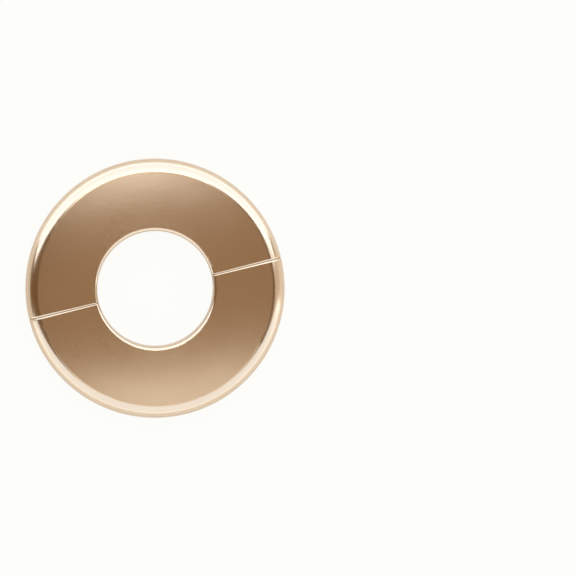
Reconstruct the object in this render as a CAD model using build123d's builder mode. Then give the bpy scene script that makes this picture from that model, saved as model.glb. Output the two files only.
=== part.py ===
from build123d import *
import math
import os

# A split collar that hides the hole round a radiator pipe. Two like halves snap together across a
# straight seam. +Z runs along the pipe, away from the wall. The origin is the pipe's centre in the
# plane of the back rim. The seam lies along X and the halves part along Y.

# Half shell, drawn from one sheet
collar_diameter = 76.0
bore_diameter = 34.0
face_height = 8.0
crown_rise = 1.4
sheet_thickness = 0.5
rim_inner_radius = 3.5
bore_bend_inner_radius = 0.55
fold_radius = 0.35
lip_depth = 2.4
seam_gap = 0.05
skirt_corner_width = 1.8
flange_corner_width = 1.6
corner_trim_radius = 1.0

# Catch stud, turned and welded under the face
shank_diameter = 3.0
stud_base_diameter = 4.2
stud_base_thickness = 0.6
stud_head_overhang = 0.7
stud_head_thickness = 0.7
stud_head_rounding = 0.35
stud_edge_rounding = 0.15

# Fork clip, cut and folded from spring strip
clip_thickness = 0.6
fork_width = 8.0
prong_length = 3.35
prong_end_width = 1.2
neck_rounding = 0.25
clip_bend_inner_radius = 0.4
joggle_angle = 45.0
pad_length = 5.5
pad_corner_radius = 1.0
weld_spot_diameter = 1.8
weld_spot_depth = 0.1
weld_spot_spacing = 4.0

# Clearances of the snap joint
seat_clearance = 0.2
snap_interference = 0.1
lip_clearance = 0.2
head_clearance = 0.15
stud_to_lip_clearance = 0.35
joggle_to_lip_clearance = 1.25

# Values worked out from the sizes above
collar_radius = collar_diameter / 2
bore_radius = bore_diameter / 2
rim_radius = rim_inner_radius + sheet_thickness
bore_bend_radius = bore_bend_inner_radius + sheet_thickness
fold_inner_radius = max(fold_radius - sheet_thickness, 0)
crown_centre_drop = (collar_radius**2 - bore_radius**2 + crown_rise**2) / (2 * crown_rise)
crown_centre_z = face_height - crown_centre_drop
crown_radius = math.hypot(bore_radius, crown_centre_drop)
half_gap = seam_gap / 2
lip_inner_face = half_gap + sheet_thickness
face_middle_radius = (bore_radius + bore_bend_radius + collar_radius - rim_radius) / 2
shank_radius = shank_diameter / 2
seat_radius = shank_radius + seat_clearance
neck_half_width = shank_radius - snap_interference
mouth_half_width = fork_width / 2 - prong_end_width
stud_to_seam = lip_inner_face + fold_inner_radius + stud_to_lip_clearance + stud_base_diameter / 2
neck_to_seam = stud_to_seam + math.sqrt(seat_radius**2 - neck_half_width**2)
tip_to_seam = stud_to_seam + prong_length
plate_top = sheet_thickness - lip_depth - lip_clearance
plate_bottom = plate_top - clip_thickness
joggle_start = lip_inner_face + joggle_to_lip_clearance
pad_start = joggle_start - plate_top / math.tan(math.radians(joggle_angle))
pad_end = pad_start + pad_length
prong_tip_radius = 0.6 * prong_end_width
head_top = plate_bottom - head_clearance
head_bottom = head_top - stud_head_thickness


def crown_height(radius, depth):
    """Height of the domed surface that lies the given depth under the face."""
    return crown_centre_z + math.sqrt((crown_radius - depth) ** 2 - radius**2)


def crown_arc(start, end, depth):
    """Arc of the domed surface between two radii, the given depth under the face."""
    radii = (start, (start + end) / 2, end)
    return ThreePointArc(*[(radius, crown_height(radius, depth)) for radius in radii])


def ring_section(depth):
    """Section of the ring whose surfaces lie the given depth inside the collar's outside."""
    inner = bore_radius + depth
    outer = collar_radius - depth
    with BuildSketch() as section:
        with BuildLine():
            face_line = crown_arc(inner, outer, depth)
            Polyline(face_line @ 1, (outer, -depth), (inner, -depth), face_line @ 0)
        make_face()
        inner_corner = section.vertices().group_by(Axis.X)[0].sort_by(Axis.Y)[-1]
        fillet(inner_corner, bore_bend_radius - depth)
        outer_corner = section.vertices().group_by(Axis.X)[-1].sort_by(Axis.Y)[-1]
        fillet(outer_corner, rim_radius - depth)
    return section.sketch


def half_form(depth):
    """Solid half ring on the +Y side, folded along its cut edges, drawn in by the given depth."""
    with BuildPart() as form:
        with BuildSketch(Plane.XZ):
            add(ring_section(depth))
        revolve(axis=Axis.Z, revolution_arc=180)
        split(bisect_by=Plane.XZ.offset(-half_gap - depth), keep=Keep.BOTTOM)
        # The folds are pressed sharp, so the inside has a rounding only where it exceeds the sheet
        if fold_radius > depth:
            cut_faces = form.faces().filter_by(Plane.XZ)
            floor_edges = cut_faces.edges().group_by(Axis.Z)[0]
            fillet(cut_faces.edges() - floor_edges, fold_radius - depth)
    return form.part


# Second half shell: a drawn tray, its straight walls trimmed back to shallow lips
with BuildPart() as second_half_shell:
    add(half_form(0))
    add(half_form(sheet_thickness), mode=Mode.SUBTRACT)
    window_start = bore_radius + flange_corner_width
    window_end = collar_radius - skirt_corner_width
    with BuildSketch(Plane.XZ) as trim_window:
        with BuildLine():
            lip_line = crown_arc(window_start, window_end, lip_depth)
            below_rim = -corner_trim_radius
            Polyline(lip_line @ 1, (window_end, below_rim), (window_start, below_rim), lip_line @ 0)
        make_face()
        fillet(trim_window.vertices().sort_by(Axis.Y)[-2:], corner_trim_radius)
        mirror(about=Plane.YZ)
    extrude(amount=-lip_inner_face - sheet_thickness, mode=Mode.SUBTRACT)

# First half shell: the same piece turned by half a turn
with BuildPart() as first_half_shell:
    with Locations(Rotation(0, 0, 180)):
        add(second_half_shell.part)

# Space under the domed face, which the welded fittings are seated against
with BuildPart() as under_face:
    with BuildSketch(Plane.XZ):
        add(ring_section(sheet_thickness))
    revolve(axis=Axis.Z)

# Frame of the +X joint: on the face's underside at the seam, square to the dome, and its Y axis
# points across the seam into the first half
underside_height = crown_height(face_middle_radius, sheet_thickness)
dome_normal = Vector(face_middle_radius, 0, underside_height - crown_centre_z)
joint_plane = Plane(
    origin=(face_middle_radius, 0, underside_height),
    x_dir=Vector(0, -1, 0).cross(dome_normal),
    z_dir=dome_normal,
)
across_seam = Axis(joint_plane.origin, joint_plane.y_dir)
square_to_face = Axis(joint_plane.origin, joint_plane.z_dir)

# Second fork clip: pad, joggle down past the lips, and a fork that reaches under the first half
with BuildPart() as second_fork_clip:
    with BuildSketch(Plane(joint_plane.origin, joint_plane.y_dir, joint_plane.x_dir)):
        with BuildLine():
            FilletPolyline(
                (-pad_end, 0),
                (-pad_start, 0),
                (-joggle_start, plate_top),
                (tip_to_seam, plate_top),
                radius=[clip_bend_inner_radius + clip_thickness, clip_bend_inner_radius],
            )
            offset(amount=clip_thickness, side=Side.RIGHT)
        make_face()
    extrude(amount=fork_width / 2, both=True)
    # Keyhole: a round seat whose flared mouth is narrower than the stud at its neck
    with BuildSketch(joint_plane.offset(plate_top)):
        with Locations((0, stud_to_seam)):
            Circle(seat_radius)
        with BuildLine():
            Polyline(
                (-neck_half_width, neck_to_seam),
                (neck_half_width, neck_to_seam),
                (mouth_half_width, tip_to_seam),
                (-mouth_half_width, tip_to_seam),
                close=True,
            )
        make_face()
    extrude(amount=-clip_thickness, mode=Mode.SUBTRACT)
    upright_edges = second_fork_clip.edges().filter_by(square_to_face)
    fillet(upright_edges.group_by(across_seam)[-1], prong_tip_radius)
    fillet(upright_edges.group_by(across_seam)[0], pad_corner_radius)
    near_neck = (neck_to_seam - neck_rounding / 2, neck_to_seam + neck_rounding / 2)
    upright_edges = second_fork_clip.edges().filter_by(square_to_face)
    fillet(upright_edges.filter_by_position(across_seam, *near_neck), neck_rounding)
    # Dents left by the two weld spots on the pad's open side
    with BuildSketch(joint_plane.offset(-clip_thickness)):
        with Locations((0, -(pad_start + pad_end) / 2)):
            with GridLocations(weld_spot_spacing, 0, 2, 1):
                Circle(weld_spot_diameter / 2)
    extrude(amount=weld_spot_depth, mode=Mode.SUBTRACT)
    add(under_face.part, mode=Mode.INTERSECT)

# First catch stud: base welded under the first half's face, shank in the keyhole, head below it
with BuildPart() as first_catch_stud:
    stud_origin = joint_plane.from_local_coords((0, stud_to_seam, 0))
    with BuildSketch(Plane(stud_origin, joint_plane.x_dir, -joint_plane.y_dir)) as stud_section:
        with BuildLine():
            base_radius = stud_base_diameter / 2
            head_radius = shank_radius + stud_head_overhang
            Polyline(
                (0, sheet_thickness),
                (base_radius, sheet_thickness),
                (base_radius, -stud_base_thickness),
                (shank_radius, -stud_base_thickness),
                (shank_radius, head_top),
                (head_radius, head_top),
                (head_radius, head_bottom),
                (0, head_bottom),
                close=True,
            )
        make_face()
    revolve(axis=Axis(stud_origin, joint_plane.z_dir))
    round_edges = first_catch_stud.edges().filter_by(GeomType.CIRCLE).sort_by(square_to_face)
    rims = round_edges.filter_by(lambda rim: rim.radius > shank_radius)
    fillet(rims[1:3], stud_edge_rounding)
    round_edges = first_catch_stud.edges().filter_by(GeomType.CIRCLE).sort_by(square_to_face)
    fillet(round_edges[0], stud_head_rounding)
    add(under_face.part, mode=Mode.INTERSECT)

# First fork clip and second catch stud: the same pieces at the other end of the seam
with BuildPart() as first_fork_clip:
    with Locations(Rotation(0, 0, 180)):
        add(second_fork_clip.part)

with BuildPart() as second_catch_stud:
    with Locations(Rotation(0, 0, 180)):
        add(first_catch_stud.part)

os.makedirs("parts", exist_ok=True)

first_half_shell.part.label = "first_half_shell"
export_step(first_half_shell.part, "parts/first_half_shell.step")

second_half_shell.part.label = "second_half_shell"
export_step(second_half_shell.part, "parts/second_half_shell.step")

first_fork_clip.part.label = "first_fork_clip"
export_step(first_fork_clip.part, "parts/first_fork_clip.step")

second_fork_clip.part.label = "second_fork_clip"
export_step(second_fork_clip.part, "parts/second_fork_clip.step")

first_catch_stud.part.label = "first_catch_stud"
export_step(first_catch_stud.part, "parts/first_catch_stud.step")

second_catch_stud.part.label = "second_catch_stud"
export_step(second_catch_stud.part, "parts/second_catch_stud.step")
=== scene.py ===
"""Studio scene of a split radiator pipe collar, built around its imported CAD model.

The collar is a low domed ring of sheet steel in two like halves. Each half carries a fork clip and a
catch stud under its face, and the halves snap together along a straight seam. Lengths are in metres,
in the CAD model's frame: +Z runs along the pipe, the seam lies along X and the halves part along Y.
"""

import logging
import math
from dataclasses import dataclass, field
from enum import Enum

import bmesh
import bpy
from mathutils import Matrix, Vector


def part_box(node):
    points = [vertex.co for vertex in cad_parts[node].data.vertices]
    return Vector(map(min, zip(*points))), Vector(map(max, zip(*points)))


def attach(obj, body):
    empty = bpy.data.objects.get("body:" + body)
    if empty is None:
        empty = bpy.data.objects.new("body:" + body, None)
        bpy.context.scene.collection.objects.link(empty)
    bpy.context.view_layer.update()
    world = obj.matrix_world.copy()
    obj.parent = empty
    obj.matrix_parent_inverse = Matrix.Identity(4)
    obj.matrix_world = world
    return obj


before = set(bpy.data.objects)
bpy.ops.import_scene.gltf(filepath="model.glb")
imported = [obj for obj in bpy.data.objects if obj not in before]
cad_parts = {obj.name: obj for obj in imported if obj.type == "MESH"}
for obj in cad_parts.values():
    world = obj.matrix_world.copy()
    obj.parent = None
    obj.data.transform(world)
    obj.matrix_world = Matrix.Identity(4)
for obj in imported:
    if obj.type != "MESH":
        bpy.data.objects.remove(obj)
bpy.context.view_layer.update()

MM = 0.001
NOISE_LOW = 0.3  # a noise pattern keeps between this value and the next nearly everywhere
NOISE_HIGH = 0.7
WAVE_TURN = 20.0  # a ring pattern turns by this many radians in each unit of its scale
LOG = logging.getLogger("collar")

Colour = tuple[float, float, float, float]
Setting = bpy.types.NodeSocket | float | tuple[float, ...]


class Half(Enum):
    """The two halves of the collar, as the CAD model names them."""

    FIRST = "first"
    SECOND = "second"


def linear(hex_colour: str) -> Colour:
    """Turns an sRGB hex colour into linear light.

    Args:
        hex_colour: colour as "#rrggbb".

    Returns:
        Red, green, blue and an alpha of 1.
    """
    channels = [int(hex_colour[i : i + 2], 16) / 255 for i in (1, 3, 5)]
    light = [c / 12.92 if c <= 0.04045 else ((c + 0.055) / 1.055) ** 2.4 for c in channels]
    return (light[0], light[1], light[2], 1.0)


def add_node(
    tree: bpy.types.NodeTree,
    kind: str,
    inputs: dict[str | int, Setting] | None = None,
    **settings: object,
) -> bpy.types.Node:
    """Adds a node with its settings, socket values and links.

    Args:
        tree: node tree that gets the node.
        kind: the node's type name.
        inputs: socket name or number, with the value or the output socket that feeds it.
        settings: properties of the node itself.

    Returns:
        The new node.
    """
    node = tree.nodes.new(kind)
    for name, value in settings.items():
        setattr(node, name, value)
    for socket, value in (inputs or {}).items():
        if isinstance(value, bpy.types.NodeSocket):
            tree.links.new(value, node.inputs[socket])
        else:
            node.inputs[socket].default_value = value
    return node


def empty_tree(owner: bpy.types.Material | bpy.types.World) -> bpy.types.NodeTree:
    """Switches nodes on and returns the owner's tree with nothing in it."""
    owner.use_nodes = True
    owner.node_tree.nodes.clear()
    return owner.node_tree


@dataclass(frozen=True)
class Dome:
    """The sphere that the crowned face is part of, with its centre on the pipe's axis."""

    radius: float = 413.55 * MM
    centre_height: float = -405.2 * MM
    sheet_thickness: float = 0.5 * MM

    def underside(self, distance: float) -> float:
        """Returns the height of the face's underside at a distance from the pipe's axis."""
        return self.centre_height + math.sqrt((self.radius - self.sheet_thickness) ** 2 - distance**2)

    def lean(self, distance: float) -> float:
        """Returns the angle by which the face leans outwards at a distance from the pipe's axis."""
        return math.asin(distance / (self.radius - self.sheet_thickness))


@dataclass(frozen=True)
class Pattern:
    """The fine pattern of a metal's surface, as sockets that feed its shader.

    tint and gloss run from 0 to 1, and relief times depth is the surface's height in metres. A metal
    with an even gloss has no gloss socket.
    """

    tint: bpy.types.NodeSocket
    relief: bpy.types.NodeSocket
    depth: float
    gloss: bpy.types.NodeSocket | None = None


@dataclass(frozen=True, kw_only=True)
class CollarMetal:
    """A metal of the collar: two close tints, a gloss and a relief that follow one fine pattern."""

    name: str
    tint: str
    second_tint: str
    roughness: float
    roughness_spread: float = 0.0

    def pattern(self, tree: bpy.types.NodeTree, place: bpy.types.NodeSocket) -> Pattern:
        """Adds the metal's own pattern.

        Args:
            tree: the material's node tree.
            place: socket with the object's coordinates.

        Returns:
            The pattern's sockets.
        """
        raise NotImplementedError

    def gloss(self, tree: bpy.types.NodeTree, pattern: Pattern) -> Setting:
        """Gives the roughness, which swings with the pattern where the metal's gloss is uneven.

        Args:
            tree: the material's node tree.
            pattern: the metal's pattern.

        Returns:
            Socket with the roughness, or its value where it is even.
        """
        if pattern.gloss is None:
            return self.roughness
        uneven = add_node(
            tree,
            "ShaderNodeMapRange",
            {
                "Value": pattern.gloss,
                "From Min": NOISE_LOW,
                "From Max": NOISE_HIGH,
                "To Min": self.roughness - self.roughness_spread / 2,
                "To Max": self.roughness + self.roughness_spread / 2,
            },
        )
        return uneven.outputs["Result"]

    def build(self) -> bpy.types.Material:
        """Builds the material's nodes and returns it."""
        material = bpy.data.materials.new(self.name)
        tree = empty_tree(material)
        place = add_node(tree, "ShaderNodeTexCoord")
        pattern = self.pattern(tree, place.outputs["Object"])
        shade = add_node(
            tree,
            "ShaderNodeMix",
            {"Factor": pattern.tint, "A": linear(self.tint), "B": linear(self.second_tint)},
            data_type="RGBA",
        )
        bump = add_node(
            tree,
            "ShaderNodeBump",
            {"Height": pattern.relief, "Distance": pattern.depth, "Strength": 1.0},
        )
        surface = add_node(
            tree,
            "ShaderNodeBsdfPrincipled",
            {
                "Base Color": shade.outputs["Result"],
                "Metallic": 1.0,
                "Roughness": self.gloss(tree, pattern),
                "Normal": bump.outputs["Normal"],
            },
        )
        add_node(tree, "ShaderNodeOutputMaterial", {"Surface": surface.outputs["BSDF"]})
        return material


@dataclass(frozen=True, kw_only=True)
class SatinSheet(CollarMetal):
    """Champagne-plated steel sheet with a fine satin blast, folded down along the seam.

    The blast breaks each reflection into a soft glow with a barely visible grain, and the warm plating
    tints every reflection the colour of pale bronze. The press leaves the fold beside the seam a little
    rounder towards the rim, so the bright line there grows wider.
    """

    name: str = "champagne_plated_satin_steel"
    tint: str = "#e4d3ba"
    second_tint: str = "#dfccb2"
    roughness: float = 0.17
    roughness_spread: float = 0.06
    grain_size: float = 0.5 * MM  # real grit marks are far finer; this is the smallest the render shows
    grain_depth: float = 0.005 * MM
    grain_detail: float = 3.0
    grain_sharpness: float = 0.6
    cloud_size: float = 9 * MM
    cloud_detail: float = 4.0
    fold_reach: float = 0.375 * MM
    fold_spread: float = 0.2 * MM
    fold_spread_radius: float = 0.5 * MM
    bore_radius: float = 17 * MM
    face_radius: float = 34 * MM

    def fold_relief(
        self, tree: bpy.types.NodeTree, place: bpy.types.NodeSocket
    ) -> bpy.types.NodeSocket:
        """Adds the face's shallow fall beside the seam's fold, which reaches further near the rim.

        Args:
            tree: the material's node tree.
            place: socket with the object's coordinates.

        Returns:
            Socket with the height in metres, zero on the face and below zero beside the fold.
        """
        axes = add_node(tree, "ShaderNodeSeparateXYZ", {"Vector": place})
        along = add_node(tree, "ShaderNodeMath", {0: axes.outputs["X"]}, operation="ABSOLUTE")
        across = add_node(tree, "ShaderNodeMath", {0: axes.outputs["Y"]}, operation="ABSOLUTE")
        reach = add_node(
            tree,
            "ShaderNodeMapRange",
            {
                "Value": along.outputs["Value"],
                "From Min": self.bore_radius,
                "From Max": self.face_radius,
                "To Min": self.fold_reach,
                "To Max": self.fold_reach + self.fold_spread,
            },
        )
        beside = add_node(
            tree,
            "ShaderNodeMath",
            {0: across.outputs["Value"], 1: self.fold_reach},
            operation="MAXIMUM",
        )
        inside = add_node(
            tree,
            "ShaderNodeMath",
            {0: reach.outputs["Result"], 1: beside.outputs["Value"]},
            operation="SUBTRACT",
        )
        within = add_node(tree, "ShaderNodeMath", {0: inside.outputs["Value"], 1: 0.0}, operation="MAXIMUM")
        square = add_node(
            tree,
            "ShaderNodeMath",
            {0: within.outputs["Value"], 1: within.outputs["Value"]},
            operation="MULTIPLY",
        )
        fall = add_node(
            tree,
            "ShaderNodeMath",
            {0: square.outputs["Value"], 1: -0.5 / self.fold_spread_radius},
            operation="MULTIPLY",
        )
        return fall.outputs["Value"]

    def pattern(self, tree: bpy.types.NodeTree, place: bpy.types.NodeSocket) -> Pattern:
        """Adds the blasted grain, the clouds in the plating and the fall beside the fold.

        Args:
            tree: the material's node tree.
            place: socket with the object's coordinates.

        Returns:
            The pattern's sockets.
        """
        grain = add_node(
            tree,
            "ShaderNodeTexNoise",
            {
                "Vector": place,
                "Scale": 1 / self.grain_size,
                "Detail": self.grain_detail,
                "Roughness": self.grain_sharpness,
            },
        )
        cloud = add_node(
            tree,
            "ShaderNodeTexNoise",
            {"Vector": place, "Scale": 1 / self.cloud_size, "Detail": self.cloud_detail},
        )
        relief = add_node(
            tree,
            "ShaderNodeMath",
            {0: grain.outputs["Fac"], 1: self.grain_depth, 2: self.fold_relief(tree, place)},
            operation="MULTIPLY_ADD",
        )
        return Pattern(
            tint=cloud.outputs["Fac"],
            relief=relief.outputs["Value"],
            depth=1.0,
            gloss=grain.outputs["Fac"],
        )


@dataclass(frozen=True, kw_only=True)
class SpringStrip(CollarMetal):
    """Bright rolled spring steel: fine rolling lines run along the strip and stretch its reflections."""

    name: str = "rolled_spring_steel"
    tint: str = "#f0e6d3"
    second_tint: str = "#e6dac4"
    roughness: float = 0.45
    roughness_spread: float = 0.12
    line_width: float = 0.16 * MM  # real rolling lines are finer; this is the smallest the render shows
    line_length: float = 5 * MM
    line_depth: float = 0.0012 * MM
    line_detail: float = 3.0

    def pattern(self, tree: bpy.types.NodeTree, place: bpy.types.NodeSocket) -> Pattern:
        """Adds the rolling lines.

        Args:
            tree: the material's node tree.
            place: socket with the object's coordinates.

        Returns:
            The pattern's sockets.
        """
        drawn_out = add_node(
            tree,
            "ShaderNodeMapping",
            {
                "Vector": place,
                "Scale": (1 / self.line_width, 1 / self.line_length, 1 / self.line_width),
            },
        )
        lines = add_node(
            tree,
            "ShaderNodeTexNoise",
            {"Vector": drawn_out.outputs["Vector"], "Scale": 1.0, "Detail": self.line_detail},
        )
        line = lines.outputs["Fac"]
        return Pattern(tint=line, relief=line, depth=self.line_depth, gloss=line)


@dataclass(frozen=True, kw_only=True)
class TurnedSteel(CollarMetal):
    """Turned free-cutting steel: fine tool marks run in rings round the stud and catch the light."""

    centre: Vector
    tint: str = "#bdb4a6"
    second_tint: str = "#cdc5b8"
    roughness: float = 0.3
    ring_spacing: float = 0.16 * MM  # real tool marks are finer; this is the smallest the render shows
    ring_depth: float = 0.002 * MM
    ring_waver: float = 0.6
    ring_detail: float = 2.0

    def pattern(self, tree: bpy.types.NodeTree, place: bpy.types.NodeSocket) -> Pattern:
        """Adds the rings of the tool marks round the stud's centre.

        Args:
            tree: the material's node tree.
            place: socket with the object's coordinates.

        Returns:
            The pattern's sockets.
        """
        centred = add_node(
            tree,
            "ShaderNodeMapping",
            {"Vector": place, "Location": tuple(-self.centre)},
        )
        rings = add_node(
            tree,
            "ShaderNodeTexWave",
            {
                "Vector": centred.outputs["Vector"],
                "Scale": math.tau / (WAVE_TURN * self.ring_spacing),
                "Distortion": self.ring_waver,
                "Detail": self.ring_detail,
            },
            wave_type="RINGS",
            rings_direction="SPHERICAL",
        )
        ring = rings.outputs["Fac"]
        return Pattern(tint=ring, relief=ring, depth=self.ring_depth)


@dataclass
class WeldBead:
    """The thin bead of weld metal round a stud's base, in the corner under the domed face."""

    stud: str
    foot: Vector
    lean: float
    base_radius: float = 2.1 * MM
    size: float = 0.22 * MM
    sides_round: int = 48
    sides_across: int = 5
    merge_distance: float = 0.001 * MM

    def build(self, body: str, material: bpy.types.Material) -> bpy.types.Object:
        """Spins the bead's section round the stud.

        Args:
            body: the moving body that it rides on.
            material: the finish.

        Returns:
            The bead's object.
        """
        mesh = bmesh.new()
        corner = Vector((self.base_radius, 0, 0))
        turns = [math.pi / 2 * side / self.sides_across for side in range(self.sides_across + 1)]
        swell = [corner + self.size * Vector((math.cos(turn), 0, -math.sin(turn))) for turn in turns]
        points = [mesh.verts.new(place) for place in [corner, *swell]]
        edges = [mesh.edges.new(pair) for pair in zip(points, points[1:] + points[:1])]
        bmesh.ops.spin(
            mesh,
            geom=points + edges,
            cent=(0, 0, 0),
            axis=(0, 0, 1),
            angle=math.tau,
            steps=self.sides_round,
            use_merge=True,
        )
        bmesh.ops.remove_doubles(mesh, verts=mesh.verts, dist=self.merge_distance)
        bmesh.ops.recalc_face_normals(mesh, faces=mesh.faces)
        seat = Matrix.Translation(self.foot) @ Matrix.Rotation(self.lean, 4, "Y")
        bmesh.ops.transform(mesh, matrix=seat, verts=mesh.verts)
        data = bpy.data.meshes.new(f"{self.stud}_weld_bead")
        mesh.to_mesh(data)
        mesh.free()
        data.shade_smooth()
        data.materials.append(material)
        piece = bpy.data.objects.new(data.name, data)
        bpy.context.scene.collection.objects.link(piece)
        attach(piece, body)
        LOG.info("welded %s, %d faces", piece.name, len(data.polygons))
        return piece


@dataclass
class CollarHalf:
    """One half of the collar: its shell, fork clip and catch stud, and the weld bead under the face."""

    half: Half
    dome: Dome = field(default_factory=Dome)
    stud_distance: float = 26.025 * MM

    def dress(self, part: str, material: bpy.types.Material) -> None:
        """Gives one CAD solid of this half its finish.

        Args:
            part: the solid's name without the half's.
            material: the finish.
        """
        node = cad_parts[f"{self.half.value}_{part}"]
        for slot in node.material_slots:
            slot.material = material
        LOG.info("dressed %s with %s", node.name, material.name)

    def stud_foot(self) -> Vector:
        """Returns the middle of the stud's base, on the underside of the face."""
        low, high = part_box(f"{self.half.value}_catch_stud")
        along = math.copysign(self.stud_distance, low[0] + high[0])
        across = (low[1] + high[1]) / 2
        return Vector((along, across, self.dome.underside(self.stud_distance)))

    def build(self, sheet: bpy.types.Material, strip: bpy.types.Material) -> None:
        """Dresses the solids and lays the weld bead.

        Args:
            sheet: finish of the shell.
            strip: finish of the fork clip.
        """
        foot = self.stud_foot()
        lean = math.copysign(self.dome.lean(self.stud_distance), foot.x)
        turned = TurnedSteel(name=f"turned_steel_{self.half.value}", centre=foot).build()
        self.dress("half_shell", sheet)
        self.dress("fork_clip", strip)
        self.dress("catch_stud", turned)
        WeldBead(f"{self.half.value}_stud", foot, lean).build(f"{self.half.value}_half", turned)


@dataclass(frozen=True)
class Softbox:
    """A flat rectangular light that faces the collar.

    bearing is the side of the picture that the light stands on, in degrees anticlockwise from the
    picture's right. Each edge is a distance out from the pipe's axis and a height above the floor.
    radiance is the light's own brightness, as the metal mirrors it.
    """

    name: str
    bearing: float
    upper_edge: tuple[float, float]
    lower_edge: tuple[float, float]
    width: float
    radiance: float
    colour: str

    def build(self, picture: Matrix) -> bpy.types.Object:
        """Makes the lamp.

        Args:
            picture: turns picture directions into the CAD model's frame.

        Returns:
            The lamp's object.
        """
        upper = Vector((self.upper_edge[0], 0, self.upper_edge[1]))
        lower = Vector((self.lower_edge[0], 0, self.lower_edge[1]))
        depth = (lower - upper).length
        down = (lower - upper).normalized()
        sideways = Vector((0, 1, 0))
        behind = down.cross(sideways)
        if behind.dot(upper + lower) < 0:
            sideways = -sideways
            behind = -behind
        lamp = bpy.data.lights.new(self.name, "AREA")
        lamp.shape = "RECTANGLE"
        lamp.size = depth
        lamp.size_y = self.width
        lamp.color = linear(self.colour)[:3]
        lamp.energy = self.radiance * math.pi * self.width * depth
        placed = bpy.data.objects.new(self.name, lamp)
        placed.visible_camera = False
        turn = Matrix.Rotation(math.radians(self.bearing), 4, "Z")
        axes = Matrix((down, sideways, behind)).transposed().to_4x4()
        placed.matrix_world = picture @ turn @ Matrix.Translation((upper + lower) / 2) @ axes
        bpy.context.scene.collection.objects.link(placed)
        LOG.info("hung %s", self.name)
        return placed


@dataclass(frozen=True)
class WhiteBoard:
    """Satin-coated white board under the collar.

    The coating mirrors the lights at a grazing angle, so the rim's foot picks up a pale glow. The
    camera sees an even white with only a trace of the collar's shadow. The metal shows a share of that
    white and the rest of the lit board, with the shadow beside and under the collar.
    """

    name: str = "coated_white_board"
    board: str = "#f0e8da"
    seen_white: str = "#fefefb"
    roughness: float = 0.2
    even_share: float = 0.95  # how much of the even white the camera sees
    reflected_share: float = 0.1  # how much of it the metal shows

    def build(self) -> bpy.types.Material:
        """Builds the material's nodes and returns it."""
        material = bpy.data.materials.new(self.name)
        tree = empty_tree(material)
        ray = add_node(tree, "ShaderNodeLightPath")
        direct = add_node(
            tree,
            "ShaderNodeMath",
            {0: ray.outputs["Is Camera Ray"], 1: self.even_share},
            operation="MULTIPLY",
        )
        reflected = add_node(
            tree,
            "ShaderNodeMath",
            {0: ray.outputs["Is Glossy Ray"], 1: ray.outputs["Is Transmission Ray"]},
            operation="MAXIMUM",
        )
        even = add_node(
            tree,
            "ShaderNodeMath",
            {0: reflected.outputs["Value"], 1: self.reflected_share, 2: direct.outputs["Value"]},
            operation="MULTIPLY_ADD",
        )
        board = add_node(
            tree,
            "ShaderNodeBsdfPrincipled",
            {"Base Color": linear(self.board), "Roughness": self.roughness},
        )
        white = add_node(tree, "ShaderNodeEmission", {"Color": linear(self.seen_white), "Strength": 1.0})
        surface = add_node(
            tree,
            "ShaderNodeMixShader",
            {0: even.outputs["Value"], 1: board.outputs["BSDF"], 2: white.outputs["Emission"]},
        )
        add_node(tree, "ShaderNodeOutputMaterial", {"Surface": surface.outputs["Shader"]})
        return material


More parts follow.
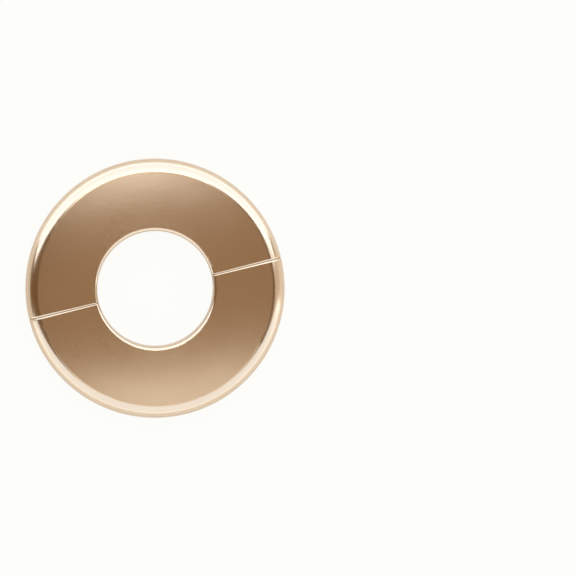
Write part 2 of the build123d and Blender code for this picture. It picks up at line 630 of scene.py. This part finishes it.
@dataclass
class Studio:
    """Camera, floor, surroundings and lamps."""

    lens: float = 380.0
    sensor: float = 36.0
    view_width: float = 169.3 * MM
    seam_rise: float = 13.8  # degrees by which the seam rises to the picture's right
    lean_up: float = 3.0  # degrees by which the camera stands towards the picture's top
    lean_left: float = 2.3  # degrees by which it stands towards the picture's left
    collar_offset: tuple[float, float] = (-39.11 * MM, 0.125 * MM)
    floor_radius: float = 4.0
    floor_sides: int = 96
    floor_gap: float = 0.01 * MM
    backdrop_colour: str = "#fefefb"
    horizon_colour: str = "#b99e86"
    ceiling_colour: str = "#7c5d3b"
    backdrop_fade: tuple[float, float] = (0.05, 0.1)  # sines of the angles where the backdrop fades out
    ceiling_start: float = 0.45  # sine of the angle where the ceiling's own colour is reached
    # Each light's name, bearing, upper edge, lower edge, width, radiance and colour
    lights: tuple[Softbox, ...] = (
        Softbox("back_window_top", 91, (0.46, 1.5), (0.716, 1.023), 5.4, 2.0, "#ecf3ff"),
        Softbox("back_window_middle", 91, (0.716, 1.023), (0.95, 0.549), 5.4, 1.7, "#dceaff"),
        Softbox("back_window_foot", 91, (0.95, 0.549), (1.15, 0.01), 5.4, 1.6, "#d7e8ff"),
        Softbox("back_corner", 17, (0.75, 1.2), (1.05, 0.9), 0.3, 0.9, "#e2efff"),
        Softbox("back_overhead", 98, (0.25, 1.5), (0.46, 1.5), 0.62, 2.15, "#fdfdff"),
        Softbox("back_valance", 95, (0.165, 1.5), (0.25, 1.5), 0.5, 0.3, "#fff8f0"),
        Softbox("front_window", -86, (0.57, 1.5), (0.6, 0.06), 5.4, 1.28, "#e2efff"),
        Softbox("front_overhead", -83, (0.302, 1.5), (0.57, 1.5), 0.94, 0.8, "#fffcf6"),
        Softbox("ceiling_card", -25, (-0.27, 1.5), (0.48, 1.5), 0.78, 0.145, "#ffd9b9"),
        Softbox("right_card", 0, (0.8, 1.1), (1.4, 0.1), 0.6, 0.5, "#fff7ee"),
    )

    def picture(self) -> Matrix:
        """Returns the turn from picture directions, right and up, to the CAD model's frame."""
        return Matrix.Rotation(math.radians(-self.seam_rise), 4, "Z")

    def add_camera(self) -> None:
        """Places the camera at the photograph's angle and framing."""
        data = bpy.data.cameras.new("camera")
        data.lens = self.lens
        data.sensor_width = self.sensor
        distance = self.view_width * self.lens / self.sensor
        turn = self.picture()
        aim = turn @ Vector((-self.collar_offset[0], -self.collar_offset[1], 0))
        sideways = -math.tan(math.radians(self.lean_left))
        upwards = math.tan(math.radians(self.lean_up))
        away = (turn @ Vector((sideways, upwards, 1))).normalized()
        right = (turn @ Vector((0, 1, 0))).cross(away).normalized()
        up = away.cross(right)
        camera = bpy.data.objects.new("camera", data)
        axes = Matrix((right, up, away)).transposed().to_4x4()
        camera.matrix_world = Matrix.Translation(aim + away * distance) @ axes
        bpy.context.scene.collection.objects.link(camera)
        bpy.context.scene.camera = camera

    def add_floor(self) -> None:
        """Lays the board that the collar rests on."""
        bpy.ops.mesh.primitive_circle_add(
            vertices=self.floor_sides,
            radius=self.floor_radius,
            fill_type="NGON",
            location=(0, 0, -self.floor_gap),
        )
        floor = bpy.context.object
        floor.name = "floor"
        floor.data.materials.append(WhiteBoard().build())

    def add_world(self) -> None:
        """Sets the surroundings: a pale backdrop all round, and a dim warm room above it."""
        world = bpy.data.worlds.new("studio")
        bpy.context.scene.world = world
        tree = empty_tree(world)
        place = add_node(tree, "ShaderNodeTexCoord")
        direction = add_node(tree, "ShaderNodeSeparateXYZ", {"Vector": place.outputs["Generated"]})
        height = add_node(
            tree,
            "ShaderNodeMapRange",
            {"Value": direction.outputs["Z"], "From Min": 0.0, "From Max": self.ceiling_start},
        )
        walls = add_node(
            tree,
            "ShaderNodeMix",
            {
                "Factor": height.outputs["Result"],
                "A": linear(self.horizon_colour),
                "B": linear(self.ceiling_colour),
            },
            data_type="RGBA",
        )
        above = add_node(
            tree,
            "ShaderNodeMapRange",
            {
                "Value": direction.outputs["Z"],
                "From Min": self.backdrop_fade[0],
                "From Max": self.backdrop_fade[1],
            },
        )
        room = add_node(
            tree,
            "ShaderNodeMix",
            {
                "Factor": above.outputs["Result"],
                "A": linear(self.backdrop_colour),
                "B": walls.outputs["Result"],
            },
            data_type="RGBA",
        )
        light = add_node(tree, "ShaderNodeBackground", {"Color": room.outputs["Result"], "Strength": 1.0})
        add_node(tree, "ShaderNodeOutputWorld", {"Surface": light.outputs["Background"]})

    def build(self) -> None:
        """Sets up the whole studio."""
        self.add_camera()
        self.add_floor()
        self.add_world()
        for light in self.lights:
            light.build(self.picture())


def main() -> None:
    """Builds the scene and reports each piece."""
    logging.basicConfig(level=logging.INFO, format="%(name)s: %(message)s")
    bpy.context.scene.view_settings.view_transform = "Standard"
    sheet = SatinSheet().build()
    strip = SpringStrip().build()
    for half in Half:
        CollarHalf(half).build(sheet, strip)
    Studio().build()


if __name__ == "__main__":
    main()
